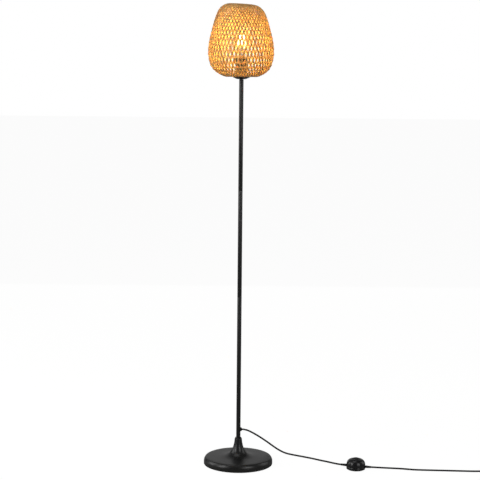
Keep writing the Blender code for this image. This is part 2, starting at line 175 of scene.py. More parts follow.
def mouldedRubber():
    # EPDM rubber, compression moulded: matt, with a fine dusty bloom
    material, tree, shader, place = startMaterial("mouldedEpdmRubber")
    bloom = addNoise(tree, place, 260.0, 4.0)
    shade = addRamp(tree, bloom.outputs["Fac"], [(0.35, "#141414"), (0.75, "#1e1e1d")])
    bump = addBump(tree, bloom, 0.15, 0.0001)
    tree.links.new(shade.outputs["Color"], shader.inputs["Base Color"])
    tree.links.new(bump.outputs["Normal"], shader.inputs["Normal"])
    shader.inputs["Roughness"].default_value = 0.75
    shader.inputs["Specular IOR Level"].default_value = 0.35
    return material


def platedMetal(name, low, high, roughLow, roughHigh, scale):
    # A plated or drawn metal: its two tones, its roughness range and the size of its mottling
    material, tree, shader, place = startMaterial(name)
    mottle = addNoise(tree, place, scale, 4.0)
    shade = addRamp(tree, mottle.outputs["Fac"], [(0.3, low), (0.7, high)])
    rough = addRange(tree, mottle, roughLow, roughHigh)
    tree.links.new(shade.outputs["Color"], shader.inputs["Base Color"])
    tree.links.new(rough.outputs["Result"], shader.inputs["Roughness"])
    shader.inputs["Metallic"].default_value = 1.0
    return material


def firedCeramic():
    # Steatite, pressed and fired: off-white, dry, with small dark specks
    material, tree, shader, place = startMaterial("firedSteatite")
    speck = addNoise(tree, place, 900.0, 2.0)
    shade = addRamp(tree, speck.outputs["Fac"], [(0.28, "#b5ab9c"), (0.36, "#e2ddd2")])
    tree.links.new(shade.outputs["Color"], shader.inputs["Base Color"])
    shader.inputs["Roughness"].default_value = 0.6
    return material


def castIron():
    # Grey iron, sand cast: dull and grainy
    material, tree, shader, place = startMaterial("sandCastIron")
    grain = addNoise(tree, place, 500.0, 5.0)
    shade = addRamp(tree, grain.outputs["Fac"], [(0.3, "#2b2a29"), (0.7, "#454341")])
    bump = addBump(tree, grain, 0.5, 0.0004)
    tree.links.new(shade.outputs["Color"], shader.inputs["Base Color"])
    tree.links.new(bump.outputs["Normal"], shader.inputs["Normal"])
    shader.inputs["Roughness"].default_value = 0.8
    shader.inputs["Metallic"].default_value = 0.3
    return material


# How the bamboo is seen: sanded splints, lit from inside by the bulb
bambooLook = {"through": 0.34, "roughness": 0.5}


def splitBamboo():
    # Split bamboo, scraped to half a millimetre: straight fibres along each splint, each with its own tone,
    # and warm light that comes through it
    material, tree, shader, _ = startMaterial("splitBamboo")
    uv = addNode(tree, "ShaderNodeUVMap", {"uv_map": "splint"})
    stretch = addNode(tree, "ShaderNodeMapping", links={"Vector": uv.outputs["UV"]})
    stretch.inputs["Scale"].default_value = (14.0, 1700.0, 1.0)  # along, across: fibres about 0.6 mm apart
    fibre = addNode(tree, "ShaderNodeTexNoise", values={"Scale": 1.0, "Detail": 3.0},
                    links={"Vector": stretch.outputs["Vector"]})
    tone = addNode(tree, "ShaderNodeAttribute", {"attribute_name": "tone"})
    mixed = addNode(tree, "ShaderNodeMath", {"operation": "MULTIPLY_ADD"}, {1: 0.3},
                    {0: fibre.outputs["Fac"], 2: tone.outputs["Fac"]})
    shade = addRamp(tree, mixed.outputs["Value"],
                    [(0.1, "#b98d50"), (0.4, "#dcb673"), (0.7, "#e8c682"), (1.0, "#f3d89c")])
    glow = addRamp(tree, mixed.outputs["Value"], [(0.1, "#d7a04a"), (0.5, "#eecc70"), (0.9, "#ffe490")])
    bump = addBump(tree, fibre, 0.25, 0.0002)
    tree.links.new(shade.outputs["Color"], shader.inputs["Base Color"])
    tree.links.new(bump.outputs["Normal"], shader.inputs["Normal"])
    shader.inputs["Roughness"].default_value = bambooLook["roughness"]
    through = addNode(tree, "ShaderNodeBsdfTranslucent", links={"Color": glow.outputs["Color"]})
    blend = addNode(tree, "ShaderNodeMixShader", values={"Fac": bambooLook["through"]})
    tree.links.new(shader.outputs["BSDF"], blend.inputs[1])
    tree.links.new(through.outputs["BSDF"], blend.inputs[2])
    tree.links.new(blend.outputs["Shader"], tree.nodes["Material Output"].inputs["Surface"])
    return material


def clearGlass():
    # Soda-lime glass, blown thin: clear and glossy, with the faintest waviness
    material, tree, shader, place = startMaterial("blownClearGlass")
    wave = addNoise(tree, place, 40.0, 1.0)
    bump = addBump(tree, wave, 0.05, 0.0003)
    tree.links.new(bump.outputs["Normal"], shader.inputs["Normal"])
    shader.inputs["Base Color"].default_value = linearColour("#fffaf0")
    shader.inputs["Transmission Weight"].default_value = 1.0
    shader.inputs["Roughness"].default_value = 0.02
    shader.inputs["IOR"].default_value = 1.05  # a wall this thin hardly bends what is seen through it
    clear = addNode(tree, "ShaderNodeBsdfTransparent")
    path = addNode(tree, "ShaderNodeLightPath")
    mix = addNode(tree, "ShaderNodeMixShader", links={"Fac": path.outputs["Is Shadow Ray"]})
    tree.links.new(shader.outputs["BSDF"], mix.inputs[1])
    tree.links.new(clear.outputs["BSDF"], mix.inputs[2])
    tree.links.new(mix.outputs["Shader"], tree.nodes["Material Output"].inputs["Surface"])
    return material


def litFilament():
    # Phosphor-coated LED filaments, warm white and switched on
    material, tree, shader, place = startMaterial("litPhosphorFilament")
    coat = addNoise(tree, place, 500.0, 2.0)
    lit = addRamp(tree, coat.outputs["Fac"], [(0.3, "#ffdc9a"), (0.7, "#ffe6b4")])
    tree.links.new(lit.outputs["Color"], shader.inputs["Base Color"])
    tree.links.new(lit.outputs["Color"], shader.inputs["Emission Color"])
    shader.inputs["Emission Strength"].default_value = 6.0
    return material


finishes = {
    "satin_black_coat": coatedSteel(),
    "black_plastic": mouldedPlastic(),
    "cord_sheath": extrudedSheath(),
    "black_rubber": mouldedRubber(),
    "zinc_steel": platedMetal("zincPlatedSteel", "#9a9a96", "#c3c2bd", 0.26, 0.4, 240.0),
    "plated_pin": platedMetal("nickelPlatedBrass", "#b9b5aa", "#d8d4c8", 0.14, 0.24, 300.0),
    "iron_weight": castIron(),
    "brass": platedMetal("rolledBrass", "#b08a3e", "#d2ad5c", 0.22, 0.36, 200.0),
    "ceramic": firedCeramic(),
    "bamboo": splitBamboo(),
    "clear_glass": clearGlass(),
    "lit_filament": litFilament(),
}
for entry in frame["record"]["subparts"]:
    cadNodes[entry["node"]].data.materials.clear()
    cadNodes[entry["node"]].data.materials.append(finishes[entry["material_slot"]])
print("finishes made")

# Shapes


def addPiece(name, mesh, slot, body="root", replaced=()):
    if not mesh.materials:
        mesh.materials.append(finishes[slot])
    piece = bpy.data.objects.new(name, mesh)
    bpy.context.scene.collection.objects.link(piece)
    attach(piece, body)
    if replaced:
        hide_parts(*replaced)
    return piece


def closeShape(name, shape, sharpAngle=35.0):
    mesh = bpy.data.meshes.new(name)
    shape.to_mesh(mesh)
    shape.free()
    mesh.shade_smooth()
    mesh.set_sharp_from_angle(angle=math.radians(sharpAngle))
    return mesh


def spunShape(outline, steps=96, lift=0.0, soften=0.0):
    # A closed (radius, height) outline in millimetres, spun once round the upright axis
    shape = bmesh.new()
    points = [shape.verts.new((radius * mm, 0.0, (height + lift) * mm)) for radius, height in outline]
    edges = [shape.edges.new(pair) for pair in zip(points, points[1:])]
    if outline[0][0] > 0 or outline[-1][0] > 0:
        edges.append(shape.edges.new((points[-1], points[0])))
    bmesh.ops.spin(shape, geom=points + edges, cent=(0, 0, 0), axis=(0, 0, 1), angle=fullTurn, steps=steps,
                   use_merge=True)
    bmesh.ops.remove_doubles(shape, verts=shape.verts, dist=1e-6)
    bmesh.ops.recalc_face_normals(shape, faces=shape.faces)
    if soften:
        corner = math.radians(50)
        sharp = [edge for edge in shape.edges if edge.is_manifold and edge.calc_face_angle() > corner]
        bevelEdges(shape, sharp, soften, 3)
    return shape


def bevelEdges(shape, edges, width, segments):
    bmesh.ops.bevel(shape, geom=edges, affect="EDGES", offset=width * mm, segments=segments,
                    profile=0.5, material=-1)


def turnShape(shape, angle, axis, verts=None):
    bmesh.ops.rotate(shape, verts=verts or shape.verts, matrix=Matrix.Rotation(angle, 3, axis))


def moveShape(shape, x, y, z, verts=None):
    bmesh.ops.translate(shape, verts=verts or shape.verts, vec=(x * mm, y * mm, z * mm))


def addRod(shape, radius, length, segments):
    # A round rod about the upright axis, centred on the origin
    return bmesh.ops.create_cone(shape, cap_ends=True, segments=segments, radius1=radius * mm,
                                 radius2=radius * mm, depth=length * mm)["verts"]


def thicken(piece, thickness, offset=0.0):
    wall = piece.modifiers.new("thickness", "SOLIDIFY")
    wall.thickness = thickness * mm
    wall.offset = offset


def smoothLine(points, perSpan):
    # A smooth curve through the points
    points = [np.array(p, float) for p in points]
    ends = [2 * points[0] - points[1], *points, 2 * points[-1] - points[-2]]
    line = []
    for a, b, c, d in zip(ends, ends[1:], ends[2:], ends[3:]):
        for step in range(perSpan):
            t = step / perSpan
            line.append(0.5 * (2 * b + (c - a) * t + (2 * a - 5 * b + 4 * c - d) * t**2
                               + (3 * b - a - 3 * c + d) * t**3))
    return np.array([*line, points[-1]])


def offsetLine(line, distance):
    # The curve moved to its left by a distance
    along = np.gradient(line, axis=0)
    along /= np.linalg.norm(along, axis=1, keepdims=True)
    return line + distance * np.stack([-along[:, 1], along[:, 0]], axis=1)


# The lead
leadSetup = {
    "diameter": 6.0,
    "toSwitch": [
        (11.3, 0, 122.5), (19, 0.6, 121.9), (33, 6.9, 116.8), (47, 14.3, 108.3), (61, 23.7, 98),
        (75, 35.1, 86.5), (89, 47.5, 74), (104, 60.9, 60.2), (118, 74.3, 46.5), (133, 88.7, 32),
        (148, 101.1, 19.5), (162, 108, 10.5), (176.5, 109.4, 5), (191, 104.3, 3.2), (204.5, 95.7, 3),
        (218.5, 86.9, 3), (232.3, 77.9, 3), (246, 68.7, 3), (259.8, 59.5, 3), (271, 50.8, 3),
        (284.5, 40, 3), (296, 30.7, 3.2), (307, 20.8, 3.8), (317.2, 9.9, 4.7), (326.8, -2, 5.9),
        (335.8, -14.4, 7.4), (344.5, -26.4, 9), (351.2, -34, 10.1), (358.8, -40.2, 11),
        (367.5, -44.9, 11.5), (376.6, -47.9, 11.5),
    ],
    "toCoil": [
        (439.4, -66.5, 11.5), (448, -68.4, 11.5), (458.5, -69.4, 11.2), (473.5, -67.9, 10),
        (488.5, -64.5, 8.3), (504, -60.6, 6.4), (520, -57.3, 4.8), (537, -55.6, 3.6), (555, -56, 3),
        (573, -59.7, 3), (591, -64.3, 3), (609, -68.7, 3), (634, -71.2, 3), (660, -72.7, 3),
        (690, -74.4, 3), (720, -76, 3), (750, -77.7, 3), (780, -79.4, 3), (810, -80.8, 3),
        (835, -81.8, 3.6), (854, -82.4, 4.2),
    ],
    "tail": [
        (938.5, -31.7, 9), (941.5, -23.6, 8.6), (943.7, -14.6, 8), (944.7, -5.5, 7.5), (945, 4.2, 7.2),
    ],
}
coilSetup = {
    "centre": (893.0, -43.2),
    "lowHeight": 4.2,
    "highHeight": 10.2,
    "turns": 4.2,
    "pointsPerTurn": 24,
    "radii": [(0, 39.0), (2.0, 27.0), (2.2, 26.3), (2.4, 27.0), (4.2, 37.8)],  # at each turn
    "rises": [(0, 0), (2.0, 0), (2.4, 1), (4.2, 0.93)],  # share of the way up at each turn
}


def coilPoints():
    # Two turns wound inwards on the floor, a rise on the inside, then turns wound outwards on top
    points = []
    count = round(coilSetup["turns"] * coilSetup["pointsPerTurn"])
    for index in range(count + 1):
        turn = coilSetup["turns"] * index / count
        angle = math.radians(-90) + fullTurn * turn
        radius = np.interp(turn, *zip(*coilSetup["radii"]))
        rise = np.interp(turn, *zip(*coilSetup["rises"]))
        height = coilSetup["lowHeight"] + (coilSetup["highHeight"] - coilSetup["lowHeight"]) * rise
        points.append((coilSetup["centre"][0] + radius * math.cos(angle),
                       coilSetup["centre"][1] + radius * math.sin(angle), height))
    return points


def leadLength(points):
    return float(np.linalg.norm(np.diff(np.array(points, float), axis=0), axis=1).sum()) * mm


def addTube(name, line, slot, replaced, depth, roundness, radii=None):
    # A round tube along a line of points in millimetres; radii scale its depth point by point
    data = bpy.data.curves.new(name, "CURVE")
    data.dimensions = "3D"
    data.bevel_depth = depth * mm
    data.bevel_resolution = roundness
    data.use_fill_caps = True
    spline = data.splines.new("POLY")
    spline.points.add(len(line) - 1)
    for index, place in enumerate(line):
        spline.points[index].co = (*(Vector(place) * mm), 1.0)
        if radii:
            spline.points[index].radius = radii[index]
    data.materials.append(finishes[slot])
    piece = bpy.data.objects.new(name, data)
    bpy.context.scene.collection.objects.link(piece)
    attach(piece, "root")
    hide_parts(*replaced)
    return piece


def addLead(name, points, replaced):
    line = smoothLine(points, 3)
    return addTube(name, line, "cord_sheath", replaced, leadSetup["diameter"] / 2, 4), leadLength(line)


leadToSwitch, lengthToSwitch = addLead("leadToSwitch", leadSetup["toSwitch"], ["cord_to_switch"])
longRoute = [*leadSetup["toCoil"], *coilPoints(), *leadSetup["tail"]]
leadToPlug, lengthToPlug = addLead("leadToPlug", longRoute, ["cord_to_coil", "cord_coil", "cord_tail"])
print("lead lengths", round(lengthToSwitch, 3), round(lengthToPlug, 3))

# The woven shade
shadeSetup = {
    "bottom": 1346.4,
    "side": [(32.6, 7.5), (37, 5.3), (44, 1.7), (53, 0), (68.2, 5.3), (85, 15.4), (97.7, 28.7), (106.3, 48.7),
             (111.4, 80), (108.6, 118.8), (102, 148.9), (91.4, 188.9), (82, 215), (73, 230), (60, 240.5),
             (49.5, 244.4)],
    "bands": 53,            # pairs of splints in each direction
    "splintWidth": 2.9,
    "splintThickness": 0.5,
    "pairAngle": 0.0165,    # half the angle between the two splints of a pair
    "relief": 0.8,          # how far a splint rises over and dips under those that cross it
    "skinDepth": (-0.2, 2.0),  # middle of the weave below the outer surface, at the bottom and at the top
    "hoopPullBottom": 29.5,
    "hoopPullTop": 43.5,
    "bellyShift": -2.2,     # the hand-shaped belly stands a little to one side of the pole
    "topDrop": (-3.2, -0.055),
    "placeSpread": 0.0022,
    "driftSpread": 0.006,
    "tone": (0.42, 0.17),
    "darkShare": 0.08,      # splints cut from the darker skin side
    "darkTone": 0.02,
    "widthShares": (0.86, 1.1),
    "stagger": 0.35,        # keeps splints apart where they crowd at the hoops
    "crowdLength": 60.0,
}
handSetup = {
    "height": 244.7,
    "bellyStart": 8.0,
    "bellyGrowth": 30.0,
    "bellyEnd": 1.15,       # share of the height
    "bellyFade": 0.4,
    "topStart": 120.0,
    "topGrowth": 110.0,
    "topPower": 1.5,
    "swells": [(0.006, 2, 0.7), (0.004, 3, 2.1)],  # size, number round the shade and start angle
}


def handShaped(x, y, height):
    # The small unevenness of a shade shaped by hand: its belly is shifted and its top slopes
    hand = handSetup
    grown = min(1.0, max(0.0, (height - hand["bellyStart"]) / hand["bellyGrowth"]))
    faded = min(1.0, max(0.0, (hand["bellyEnd"] - height / hand["height"]) / hand["bellyFade"]))
    belly = grown * faded
    top = min(1.0, max(0.0, (height - hand["topStart"]) / hand["topGrowth"])) ** hand["topPower"]
    drop, slope = shadeSetup["topDrop"]
    angle = math.atan2(y, x)
    swell = 1
    for size, count, start in hand["swells"]:
        swell += size * math.sin(count * angle + start) * belly
    return x * swell + shadeSetup["bellyShift"] * belly, y * swell, height + top * (drop + slope * x)


def shadeMeridian():
    # Even steps up the shade's side: radius, height, outward direction and the lean of a splint
    line = smoothLine(shadeSetup["side"], 24)
    steps = np.linalg.norm(np.diff(line, axis=0), axis=1)
    along = np.concatenate([[0.0], np.cumsum(steps)])
    at = np.linspace(0, along[-1], 1200)
    radius = np.interp(at, along, line[:, 0])
    height = np.interp(at, along, line[:, 1])
    outR = np.gradient(height, at)
    outH = -np.gradient(radius, at)
    size = np.hypot(outR, outH)
    share = at / at[-1]
    pull = shadeSetup["hoopPullBottom"] + (shadeSetup["hoopPullTop"] - shadeSetup["hoopPullBottom"]) * share
    lean = np.clip(pull / radius, 0, 0.93)
    turn = np.concatenate([[0.0], np.cumsum(np.diff(at) * (lean / np.sqrt(1 - lean**2) / radius)[:-1])])
    return {"at": at, "radius": radius, "height": height, "turn": turn, "lean": lean,
            "outR": outR / size, "outH": outH / size}


def splintLine(meridian, crossing, hand):
    # Where one splint is at each crossing: its place up the side, its turn, and its height over the weave
    total = meridian["turn"][-1]
    steps = int(total / crossing)
    turns = np.arange(steps + 1) * crossing
    turns = np.append(turns, total)
    at = np.interp(turns, meridian["turn"], meridian["at"])
    share = at / meridian["at"][-1]
    fade = np.clip(np.minimum(share / 0.16, (1 - share) / 0.12), 0, 1)
    wave = np.where(np.arange(len(turns)) % 2 == 0, 1.0, -1.0)
    rise = hand * shadeSetup["relief"] * (fade * wave + (1 - fade) * 0.7)
    return at, turns, rise


def addWeave(name, hand, seed, meridian):
    randomness = random.Random(seed)
    bands = shadeSetup["bands"]
    crossing = math.pi / bands
    at, turns, rise = splintLine(meridian, crossing, hand)
    keys = ("radius", "height", "outR", "outH", "lean")
    values = {key: np.interp(at, meridian["at"], meridian[key]) for key in keys}
    crowd = np.clip(1 - np.minimum(at, at[-1] - at) / shadeSetup["crowdLength"], 0, 1)
    depth = np.interp(at / at[-1], [0.25, 0.6], shadeSetup["skinDepth"])
    shape = bmesh.new()
    uvLayer = shape.loops.layers.uv.new("splint")
    toneLayer = shape.verts.layers.float.new("tone")
    alongLayer = shape.verts.layers.float.new("along")
    acrossLayer = shape.verts.layers.float.new("across")
    for band in range(bands):
        for side in (-1, 1):
            start = fullTurn * band / bands + side * shadeSetup["pairAngle"]
            start += randomness.gauss(0, shadeSetup["placeSpread"])
            drift = randomness.gauss(0, shadeSetup["driftSpread"])
            tone = min(1.0, max(0.0, randomness.gauss(*shadeSetup["tone"])))
            if randomness.random() < shadeSetup["darkShare"]:
                tone = shadeSetup["darkTone"]
            width = shadeSetup["splintWidth"] * randomness.uniform(*shadeSetup["widthShares"])
            stagger = ((band * 2 + side) % 3 - 1) * shadeSetup["stagger"]
            count = len(at)
            grid = bmesh.ops.create_grid(shape, x_segments=count - 1, y_segments=1, size=0.5)["verts"]
            for vert in grid:
                index = min(count - 1, max(0, round((vert.co.x + 0.5) * (count - 1))))
                across = (1 if vert.co.y > 0 else -1) * width / 2
                lean = values["lean"][index]
                upright = math.sqrt(1 - lean * lean)
                spread = across * upright / values["radius"][index]
                along = -across * lean * hand
                angle = start + hand * (turns[index] + drift * index / count) + spread
                lift = rise[index] + stagger * crowd[index] - depth[index]
                outR, outH = values["outR"][index], values["outH"][index]
                radius = values["radius"][index] + lift * outR - along * outH
                height = values["height"][index] + lift * outH + along * outR
                x, y, height = handShaped(radius * math.cos(angle), radius * math.sin(angle), height)
                vert[toneLayer] = tone
                vert[alongLayer] = at[index] / 1000 + band * 0.37
                vert[acrossLayer] = across * mm + band * 0.013 + side * 0.005
                vert.co = (x * mm, y * mm, (height + shadeSetup["bottom"]) * mm)
    for face in shape.faces:
        for loop in face.loops:
            loop[uvLayer].uv = (loop.vert[alongLayer], loop.vert[acrossLayer])
    bmesh.ops.recalc_face_normals(shape, faces=shape.faces)
    wallNodes = [node for node in cadNodes if node.startswith("shade_weave")]
    piece = addPiece(name, closeShape(name, shape, 60.0), "bamboo", "shade", wallNodes)
    thicken(piece, shadeSetup["splintThickness"])


meridian = shadeMeridian()
print("a splint turns by", round(math.degrees(meridian["turn"][-1]), 1), "degrees")
addWeave("splintsLeaningRight", 1, 11, meridian)
addWeave("splintsLeaningLeft", -1, 12, meridian)
print("shade woven")

# Hoops of the shade
hoopSetup = {
    "top": {"radius": 45.8, "middle": 241.0, "depth": 6.4, "turns": 46},
    "bottom": {"radius": 30.75, "middle": 7.5, "depth": 6.2, "turns": 34},
    "inside": 1.1,          # how far a ring reaches each side of its radius
    "outside": 0.9,
    "lashWidth": 2.4,
    "lashThickness": 0.4,
    "lashIn": 0.1,
    "lashReach": 1.45,
    "lashRise": 0.35,
    "lashSlant": 0.3,
}


def addHoop(name, node, setup):
    # Two flat rings of thicker bamboo with a splint lashed round them
    middle = shadeSetup["bottom"] + setup["middle"]
    half = setup["depth"] / 2
    near, far = setup["radius"] - hoopSetup["inside"], setup["radius"] + hoopSetup["outside"]
    outline = [(near, -half), (far, -half), (far, half), (near, half)]
    shape = spunShape(outline, 96, middle, 0.4)
    layTop(shape, setup)
    markSplint(shape, 0.6)
    addPiece(name + "Ring", closeShape(name + "Ring", shape), "bamboo", "shade", [node])
    shape = bmesh.new()
    for turn in range(setup["turns"]):
        loop = bmesh.ops.create_grid(shape, x_segments=8, y_segments=1, size=0.5)["verts"]
        angle = fullTurn * turn / setup["turns"]
        for vert in loop:
            around = (vert.co.x + 0.5) * fullTurn * 0.999
            wide = setup["radius"] - hoopSetup["lashIn"] + hoopSetup["lashReach"] * math.cos(around)
            high = (half + hoopSetup["lashRise"]) * math.sin(around)
            slant = vert.co.y + hoopSetup["lashSlant"] * around / math.pi
            lean = hoopSetup["lashWidth"] * slant / setup["radius"]
            x, y = wide * math.cos(angle + lean), wide * math.sin(angle + lean)
            vert.co = (x * mm, y * mm, (middle + high) * mm)
    layTop(shape, setup)
    markSplint(shape, 0.45)
    lash = addPiece(name + "Lashing", closeShape(name + "Lashing", shape, 60), "bamboo", "shade")
    thicken(lash, hoopSetup["lashThickness"])


def layTop(shape, setup):
    for vert in shape.verts:
        x, y, height = (value / mm for value in vert.co)
        x, y, height = handShaped(x, y, height - shadeSetup["bottom"])
        vert.co = (x * mm, y * mm, (height + shadeSetup["bottom"]) * mm)


def markSplint(shape, tone):
    # Fibres that run round the hoop
    uvLayer = shape.loops.layers.uv.new("splint")
    toneLayer = shape.verts.layers.float.new("tone")
    for vert in shape.verts:
        vert[toneLayer] = tone
    for face in shape.faces:
        for loop in face.loops:
            x, y, z = loop.vert.co
            loop[uvLayer].uv = (math.hypot(x, y) * math.atan2(y, x), z)


addHoop("topHoop", "shade_top_hoop", hoopSetup["top"])
addHoop("bottomHoop", "shade_bottom_hoop", hoopSetup["bottom"])
print("hoops lashed")

# Base, neck and pole
baseSetup = {
    "crown": [(120, 5), (120, 9.5), (119.4, 15.5), (118, 19.5), (114.9, 24.2), (112, 25.9), (104, 26.9),
              (84, 27.6), (60, 28.8), (46.5, 31.3), (38, 34.4), (31, 38.9), (25.8, 44.6), (21.6, 51.2),
              (18.4, 58.6), (16.1, 66.4), (14.3, 75), (13.2, 83.6), (12.7, 88)],
    "foot": [(119.4, 1.2), (119.9, 2.6)],
    "lip": [(12.5, 89.6), (11.9, 90.8), (10.9, 91.3), (9.6, 91.3)],
    "sheet": 1.2,
    "pad": [(40, 0), (114, 0), (114, 2), (40, 2)],
    "padRound": 0.5,
    "bush": [(7.8, 76), (9.3, 76), (9.3, 91.5), (11.2, 91.5), (11.2, 93), (10.7, 93.7), (9.9, 94), (7.8, 94)],
}


def addBase():
    outer = np.array([*baseSetup["foot"], *smoothLine(baseSetup["crown"], 3), *baseSetup["lip"]])
    inner = offsetLine(outer, baseSetup["sheet"])[::-1]
    plate = spunShape([tuple(p) for p in [*outer, *inner]], 160)
    addPiece("basePlate", closeShape("basePlate", plate, 50), "satin_black_coat", replaced=["base_cover"])
    pad = spunShape(baseSetup["pad"], 128, 0, baseSetup["padRound"])
    addPiece("floorPad", closeShape("floorPad", pad), "black_rubber", replaced=["base_pad"])
    bush = spunShape(baseSetup["bush"], 64)
    addPiece("neckBush", closeShape("neckBush", bush), "black_plastic", replaced=["neck_bush"])


poleSetup = {
    "outer": 7.5,
    "inner": 6.3,
    "joints": [24.6, 591.0, 958.0, 1337.3],
    "gap": 0.3,
    "edgeRound": 0.35,
    "leadHole": 4.5,
}


def cutPiece(piece, cutterShape):
    # Cuts a hole with a helper shape that is removed again
    cutterMesh = closeShape("cutter", cutterShape)
    cutter = bpy.data.objects.new("cutter", cutterMesh)
    bpy.context.scene.collection.objects.link(cutter)
    step = piece.modifiers.new("hole", "BOOLEAN")
    step.operation = "DIFFERENCE"
    step.object = cutter
    graph = bpy.context.evaluated_depsgraph_get()
    cutMesh = bpy.data.meshes.new_from_object(piece.evaluated_get(graph))
    piece.modifiers.clear()
    piece.data = cutMesh
    bpy.data.objects.remove(cutter)


def addPoles():
    joints = poleSetup["joints"]
    for name, low, high in zip(("Lower", "Middle", "Upper"), joints, joints[1:]):
        half = poleSetup["gap"] / 2
        outline = [(poleSetup["inner"], low + half), (poleSetup["outer"], low + half),
                   (poleSetup["outer"], high - half), (poleSetup["inner"], high - half)]
        shape = spunShape(outline, 64, 0, poleSetup["edgeRound"])
        pole = addPiece("pole" + name, closeShape("pole" + name, shape, 50), "satin_black_coat",
                        replaced=["pole_" + name.lower()])
        if name == "Lower":
            drill = bmesh.new()
            addRod(drill, poleSetup["leadHole"], 12, 32)
            turnShape(drill, math.pi / 2, "Y")
            moveShape(drill, 9, 0, glandSetup["height"])
            cutPiece(pole, drill)


glandSetup = {
    "height": 122.5,
    "dome": [(3.6, 12.1), (4.4, 12.2), (5.2, 11.8), (6.1, 10.6), (6.8, 9), (7.1, 7.4), (7.1, 4.5),
             (3.6, 4.5)],
    "seat": 7.6,            # a little over the pole's radius
}


def addGland():
    # Turned about its own axis, laid over, then hollowed to the pole's curve
    shape = spunShape(glandSetup["dome"], 48)
    turnShape(shape, math.pi / 2, "Y")
    moveShape(shape, 0, 0, glandSetup["height"])
    gland = addPiece("cordGrommet", closeShape("cordGrommet", shape), "black_rubber",
                     replaced=["cord_grommet"])
    pole = bmesh.new()
    addRod(pole, glandSetup["seat"], 40, 64)
    moveShape(pole, 0, 0, glandSetup["height"])
    cutPiece(gland, pole)


addBase()
addPoles()
addGland()
print("base and pole built")

# Dish, lamp holder and bulb
headSetup = {
    "dish": [(5.3, 0), (9, 0), (13, 0), (16, 0.7), (20, 2.2), (24.4, 4.1), (27.4, 5.5), (29.8, 6.9),
             (31.6, 8.4), (32.8, 10.2), (33.4, 12.2), (33.5, 15.3)],
    "dishSheet": 1.2,
    "dishBottom": 1337.6,
    "holderBottom": 1345.7,
    "cap": [(5.3, 0), (9, 0), (12, 0.8), (15, 2.7), (18, 6.5), (19.6, 10), (20.3, 13), (20.6, 18), (18.6, 18),
            (17.6, 12), (14, 6.5), (10, 3.6), (5.3, 3.6)],
    "body": [(18.8, 18.4), (20.8, 18.4), (21, 20), (21, 24), (20.7, 26), (20.2, 48), (20.2, 50), (20.9, 51),
             (20.9, 60), (20.4, 62.5), (19.4, 64), (17.6, 64), (17.6, 24), (18.8, 22)],
    "flutes": 40,
    "fluteHeights": (25, 49),
    "fluteFrom": 19,        # only the outside is fluted
    "fluteDepth": 0.014,    # share of the radius
}


def addHead():
    under = np.array(headSetup["dish"], float)
    outline = [tuple(p) for p in [*under, *offsetLine(under, headSetup["dishSheet"])[::-1]]]
    dish = spunShape(outline, 96, headSetup["dishBottom"])
    addPiece("shadeDish", closeShape("shadeDish", dish), "satin_black_coat", replaced=["shade_dish"])
    cap = spunShape(headSetup["cap"], 96, headSetup["holderBottom"])
    addPiece("holderCap", closeShape("holderCap", cap), "black_plastic", replaced=["holder_cap"])
    body = spunShape(headSetup["body"], headSetup["flutes"] * 4, headSetup["holderBottom"])
    low, high = headSetup["fluteHeights"]
    for vert in body.verts:
        height = vert.co.z / mm - headSetup["holderBottom"]
        radius = math.hypot(vert.co.x, vert.co.y) / mm
        if low < height < high and radius > headSetup["fluteFrom"]:
            wave = math.cos(math.atan2(vert.co.y, vert.co.x) * headSetup["flutes"])
            vert.co.xy *= 1 - headSetup["fluteDepth"] * (1 - wave)
    addPiece("holderBody", closeShape("holderBody", body, 25), "black_plastic", replaced=["holder_body"])


bulbSetup = {
    "bottom": 1390.4,
    "radius": 27.5,
    "centre": 75.6,
    "wall": 0.9,
    "neck": [(12.8, 25.9), (12.9, 28), (13.4, 32), (14.6, 37), (16.5, 42), (19, 47.2), (21.4, 52)],
    "domeStart": -38,
    "domeSteps": 16,
    "cap": [(9.6, 2.6), (11, 3), (12.3, 4.6), (12.9, 6), (13.1, 7), (12.9, 8), (12.2, 9), (12.9, 10),
            (13.1, 11), (12.9, 12), (12.2, 13), (12.9, 14), (13.1, 15), (13.1, 25.5), (12.3, 25.5),
            (11.4, 6), (9.6, 3.4)],
    "stem": [(0, 26.5), (9.5, 26.5), (8, 31), (4, 40), (2.6, 44), (2.2, 50), (0, 51)],
    "filaments": 8,
    "filamentRadius": 1.9,
    "filamentLength": 44,
    "filamentLean": -12,
    "filamentOut": 10.5,
    "filamentHeight": 74,
}


